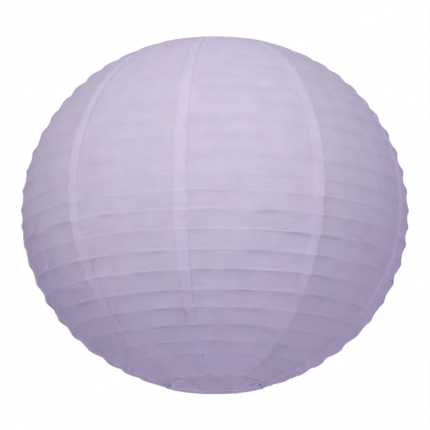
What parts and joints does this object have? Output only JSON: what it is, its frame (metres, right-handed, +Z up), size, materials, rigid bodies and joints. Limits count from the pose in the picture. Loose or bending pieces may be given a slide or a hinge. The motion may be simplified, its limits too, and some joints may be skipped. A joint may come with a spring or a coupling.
{
  "type": "paper lantern",
  "caption": "Round paper lantern of lapped gores on thin wire rib hoops, held open by a removable sprung wire expander with a hanging loop; the shell folds flat.",
  "frame": {"origin": "the centre of the hanging loop, where the cord or hook passes; the lantern hangs below it", "axes": "+Z up along the lantern's axis, -Y the front, the flat wire expander in the XZ plane"},
  "size_m": [0.4001, 0.4, 0.3668],
  "materials": {
    "lantern_paper": "matte",
    "rib_wire": "satin",
    "ring_wire": "satin",
    "spring_wire": "satin"
  },
  "bodies": {
    "crown": {"top_ring": "ring_wire", "paper_gore_1": "lantern_paper", "paper_gore_2": "lantern_paper", "paper_gore_3": "lantern_paper", "paper_gore_4": "lantern_paper", "paper_gore_5": "lantern_paper", "paper_gore_6": "lantern_paper", "paper_gore_7": "lantern_paper", "paper_gore_8": "lantern_paper", "paper_gore_9": "lantern_paper"},
    "belly_ring": {"bottom_ring": "ring_wire"},
    "expander": {"wire_expander": "spring_wire"},
    "hoop_01": {"rib_hoop_01": "rib_wire"},
    "hoop_02": {"rib_hoop_02": "rib_wire"},
    "hoop_03": {"rib_hoop_03": "rib_wire"},
    "hoop_04": {"rib_hoop_04": "rib_wire"},
    "hoop_05": {"rib_hoop_05": "rib_wire"},
    "hoop_06": {"rib_hoop_06": "rib_wire"},
    "hoop_07": {"rib_hoop_07": "rib_wire"},
    "hoop_08": {"rib_hoop_08": "rib_wire"},
    "hoop_09": {"rib_hoop_09": "rib_wire"},
    "hoop_10": {"rib_hoop_10": "rib_wire"},
    "hoop_11": {"rib_hoop_11": "rib_wire"},
    "hoop_12": {"rib_hoop_12": "rib_wire"},
    "hoop_13": {"rib_hoop_13": "rib_wire"},
    "hoop_14": {"rib_hoop_14": "rib_wire"},
    "hoop_15": {"rib_hoop_15": "rib_wire"},
    "hoop_16": {"rib_hoop_16": "rib_wire"},
    "hoop_17": {"rib_hoop_17": "rib_wire"},
    "hoop_18": {"rib_hoop_18": "rib_wire"},
    "hoop_19": {"rib_hoop_19": "rib_wire"},
    "hoop_20": {"rib_hoop_20": "rib_wire"},
    "hoop_21": {"rib_hoop_21": "rib_wire"},
    "hoop_22": {"rib_hoop_22": "rib_wire"},
    "hoop_23": {"rib_hoop_23": "rib_wire"},
    "hoop_24": {"rib_hoop_24": "rib_wire"},
    "hoop_25": {"rib_hoop_25": "rib_wire"}
  },
  "joints": [
    {"name": "shell_fold", "type": "slide", "parent": "crown", "child": "belly_ring", "axis": [0, 0, 1], "range_m": [0, 0.3317], "deforming": ["paper_gore_1", "paper_gore_2", "paper_gore_3", "paper_gore_4", "paper_gore_5", "paper_gore_6", "paper_gore_7", "paper_gore_8", "paper_gore_9"]},
    {"name": "expander_lift", "type": "slide", "parent": "crown", "child": "expander", "axis": [0, 0, 1], "range_m": [0, 0.375]},
    {"name": "hoop_01_slide", "type": "slide", "parent": "crown", "child": "hoop_01", "axis": [0, 0, 1], "range_m": [0, 0.0027]},
    {"name": "hoop_02_slide", "type": "slide", "parent": "crown", "child": "hoop_02", "axis": [0, 0, 1], "range_m": [0, 0.0084]},
    {"name": "hoop_03_slide", "type": "slide", "parent": "crown", "child": "hoop_03", "axis": [0, 0, 1], "range_m": [0, 0.0159]},
    {"name": "hoop_04_slide", "type": "slide", "parent": "crown", "child": "hoop_04", "axis": [0, 0, 1], "range_m": [0, 0.0248]},
    {"name": "hoop_05_slide", "type": "slide", "parent": "crown", "child": "hoop_05", "axis": [0, 0, 1], "range_m": [0, 0.0345]},
    {"name": "hoop_06_slide", "type": "slide", "parent": "crown", "child": "hoop_06", "axis": [0, 0, 1], "range_m": [0, 0.0466]},
    {"name": "hoop_07_slide", "type": "slide", "parent": "crown", "child": "hoop_07", "axis": [0, 0, 1], "range_m": [0, 0.0592]},
    {"name": "hoop_08_slide", "type": "slide", "parent": "crown", "child": "hoop_08", "axis": [0, 0, 1], "range_m": [0, 0.072]},
    {"name": "hoop_09_slide", "type": "slide", "parent": "crown", "child": "hoop_09", "axis": [0, 0, 1], "range_m": [0, 0.0885]},
    {"name": "hoop_10_slide", "type": "slide", "parent": "crown", "child": "hoop_10", "axis": [0, 0, 1], "range_m": [0, 0.1067]},
    {"name": "hoop_11_slide", "type": "slide", "parent": "crown", "child": "hoop_11", "axis": [0, 0, 1], "range_m": [0, 0.1246]},
    {"name": "hoop_12_slide", "type": "slide", "parent": "crown", "child": "hoop_12", "axis": [0, 0, 1], "range_m": [0, 0.1433]},
    {"name": "hoop_13_slide", "type": "slide", "parent": "crown", "child": "hoop_13", "axis": [0, 0, 1], "range_m": [0, 0.1616]},
    {"name": "hoop_14_slide", "type": "slide", "parent": "crown", "child": "hoop_14", "axis": [0, 0, 1], "range_m": [0, 0.1775]},
    {"name": "hoop_15_slide", "type": "slide", "parent": "crown", "child": "hoop_15", "axis": [0, 0, 1], "range_m": [0, 0.1947]},
    {"name": "hoop_16_slide", "type": "slide", "parent": "crown", "child": "hoop_16", "axis": [0, 0, 1], "range_m": [0, 0.2132]},
    {"name": "hoop_17_slide", "type": "slide", "parent": "crown", "child": "hoop_17", "axis": [0, 0, 1], "range_m": [0, 0.2316]},
    {"name": "hoop_18_slide", "type": "slide", "parent": "crown", "child": "hoop_18", "axis": [0, 0, 1], "range_m": [0, 0.2487]},
    {"name": "hoop_19_slide", "type": "slide", "parent": "crown", "child": "hoop_19", "axis": [0, 0, 1], "range_m": [0, 0.2658]},
    {"name": "hoop_20_slide", "type": "slide", "parent": "crown", "child": "hoop_20", "axis": [0, 0, 1], "range_m": [0, 0.2805]},
    {"name": "hoop_21_slide", "type": "slide", "parent": "crown", "child": "hoop_21", "axis": [0, 0, 1], "range_m": [0, 0.2942]},
    {"name": "hoop_22_slide", "type": "slide", "parent": "crown", "child": "hoop_22", "axis": [0, 0, 1], "range_m": [0, 0.307]},
    {"name": "hoop_23_slide", "type": "slide", "parent": "crown", "child": "hoop_23", "axis": [0, 0, 1], "range_m": [0, 0.3158]},
    {"name": "hoop_24_slide", "type": "slide", "parent": "crown", "child": "hoop_24", "axis": [0, 0, 1], "range_m": [0, 0.3229]},
    {"name": "hoop_25_slide", "type": "slide", "parent": "crown", "child": "hoop_25", "axis": [0, 0, 1], "range_m": [0, 0.3281]}
  ],
  "couplings": [
    {"joint": "hoop_01_slide", "follows": "shell_fold", "ratio": 0.00783},
    {"joint": "hoop_02_slide", "follows": "shell_fold", "ratio": 0.025036},
    {"joint": "hoop_03_slide", "follows": "shell_fold", "ratio": 0.047643},
    {"joint": "hoop_04_slide", "follows": "shell_fold", "ratio": 0.074487},
    {"joint": "hoop_05_slide", "follows": "shell_fold", "ratio": 0.10386},
    {"joint": "hoop_06_slide", "follows": "shell_fold", "ratio": 0.14029},
    {"joint": "hoop_07_slide", "follows": "shell_fold", "ratio": 0.17814},
    {"joint": "hoop_08_slide", "follows": "shell_fold", "ratio": 0.21683},
    {"joint": "hoop_09_slide", "follows": "shell_fold", "ratio": 0.26655},
    {"joint": "hoop_10_slide", "follows": "shell_fold", "ratio": 0.32135},
    {"joint": "hoop_11_slide", "follows": "shell_fold", "ratio": 0.3753},
    {"joint": "hoop_12_slide", "follows": "shell_fold", "ratio": 0.43178},
    {"joint": "hoop_13_slide", "follows": "shell_fold", "ratio": 0.48686},
    {"joint": "hoop_14_slide", "follows": "shell_fold", "ratio": 0.53486},
    {"joint": "hoop_15_slide", "follows": "shell_fold", "ratio": 0.58682},
    {"joint": "hoop_16_slide", "follows": "shell_fold", "ratio": 0.64245},
    {"joint": "hoop_17_slide", "follows": "shell_fold", "ratio": 0.69781},
    {"joint": "hoop_18_slide", "follows": "shell_fold", "ratio": 0.7495},
    {"joint": "hoop_19_slide", "follows": "shell_fold", "ratio": 0.80091},
    {"joint": "hoop_20_slide", "follows": "shell_fold", "ratio": 0.84525},
    {"joint": "hoop_21_slide", "follows": "shell_fold", "ratio": 0.88678},
    {"joint": "hoop_22_slide", "follows": "shell_fold", "ratio": 0.92522},
    {"joint": "hoop_23_slide", "follows": "shell_fold", "ratio": 0.95177},
    {"joint": "hoop_24_slide", "follows": "shell_fold", "ratio": 0.97325},
    {"joint": "hoop_25_slide", "follows": "shell_fold", "ratio": 0.98881}
  ]
}
